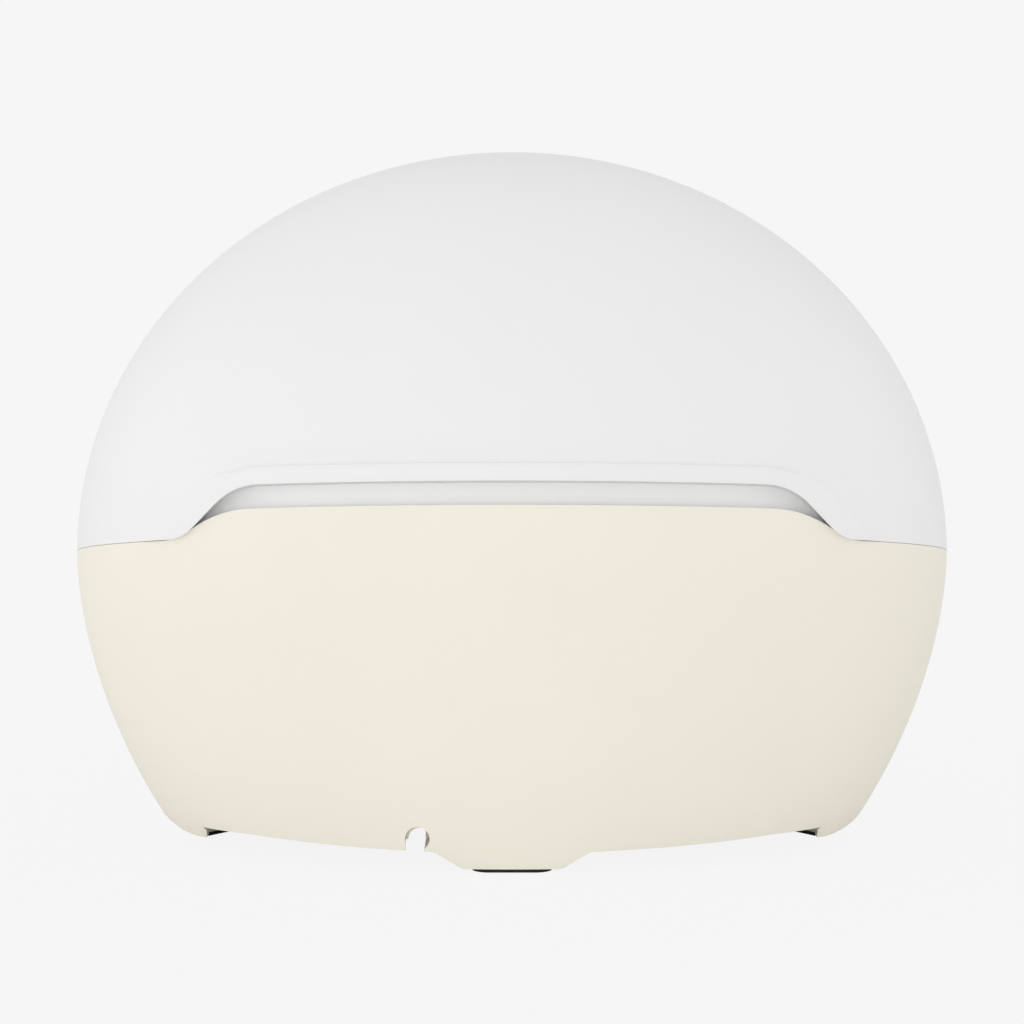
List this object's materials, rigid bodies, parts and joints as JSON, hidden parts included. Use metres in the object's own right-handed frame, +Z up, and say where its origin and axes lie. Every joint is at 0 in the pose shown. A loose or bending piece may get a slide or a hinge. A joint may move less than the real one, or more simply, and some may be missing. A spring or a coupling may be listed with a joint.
{
  "type": "sunrise alarm clock",
  "caption": "Bedside sunrise alarm clock: a half-oval opal light dome on a moulded casing with a cloth front, a display and press keys on its sloping ledge.",
  "frame": {"origin": "on the table, below the middle of the bounding box", "axes": "+Z up, +X to the right seen from the front, the front with keys and display faces -Y, the back with the recess and the cord notch faces +Y"},
  "size_m": [0.208, 0.1009, 0.164],
  "materials": {
    "casing_plastic": "fine satin moulded finish, warm cream",
    "dome_plastic": "opal diffusing plastic, smooth matte white",
    "key_plastic": "soft-touch cream key caps",
    "inner_white": "white reflective plastic",
    "inner_black": "black moulded plastic",
    "clear_cover": "frosted diffuser plastic",
    "board_green": "solder-masked circuit board",
    "board_white": "white solder-masked lamp board",
    "component_black": "moulded electronic component",
    "led_yellow": "phosphor lamp package",
    "digit_light": "lit display segments, warm white",
    "grille_plastic": "black acoustic grille",
    "cloth": "woven acoustic cloth, stretched over the grille",
    "aluminium": "brushed sheet",
    "steel": "zinc-plated steel",
    "magnet_steel": "plated magnet and pole",
    "cone_paper": "coated paper cone",
    "foot_rubber": "matte black rubber",
    "soft_rubber": "soft foam and rubber",
    "brass": "plated contact"
  },
  "bodies": {
    "body": {"bottom_cover": "casing_plastic", "capacitors": "aluminium", "casing": "casing_plastic", "cell_holder": "component_black", "coin_cell": "steel", "cover_screws": "steel", "display_block": "inner_black", "display_board": "board_green", "display_digits": "digit_light", "display_screws": "steel", "dome_screws": "steel", "dome_shell": "dome_plastic", "front_cloth": "cloth", "front_grille": "grille_plastic", "heat_spreader": "aluminium", "jack_pin": "brass", "key_board": "board_green", "key_board_screws": "steel", "key_switches": "component_black", "lamp_board": "board_white", "lamp_cover": "clear_cover", "lamp_leds": "led_yellow", "lamp_screws": "steel", "left_foot": "foot_rubber", "light_tray": "inner_white", "main_board": "board_green", "main_board_screws": "steel", "power_jack": "component_black", "processor": "component_black", "radio_shield": "steel", "rear_foot": "foot_rubber", "reflector": "inner_white", "right_foot": "foot_rubber", "speaker_chamber": "inner_black", "speaker_cone": "cone_paper", "speaker_frame": "steel", "speaker_gasket": "soft_rubber", "speaker_magnet": "magnet_steel", "speaker_screws": "steel", "speaker_surround": "soft_rubber"},
    "snooze": {"snooze_bar": "key_plastic", "snooze_plungers": "component_black"},
    "left_button": {"left_key": "key_plastic", "left_plunger": "component_black"},
    "right_button": {"right_key": "key_plastic", "right_plunger": "component_black"}
  },
  "joints": [
    {"name": "snooze_press", "type": "slide", "parent": "body", "child": "snooze", "axis": [0, -0.1719, 0.9851], "range_m": [-0.001, 0], "stiffness_N_per_m": 1500, "springref_m": 0.0005},
    {"name": "left_button_press", "type": "slide", "parent": "body", "child": "left_button", "axis": [0, -0.1719, 0.9851], "range_m": [-0.001, 0], "stiffness_N_per_m": 1200, "springref_m": 0.0005},
    {"name": "right_button_press", "type": "slide", "parent": "body", "child": "right_button", "axis": [0, -0.1719, 0.9851], "range_m": [-0.001, 0], "stiffness_N_per_m": 1200, "springref_m": 0.0005}
  ]
}
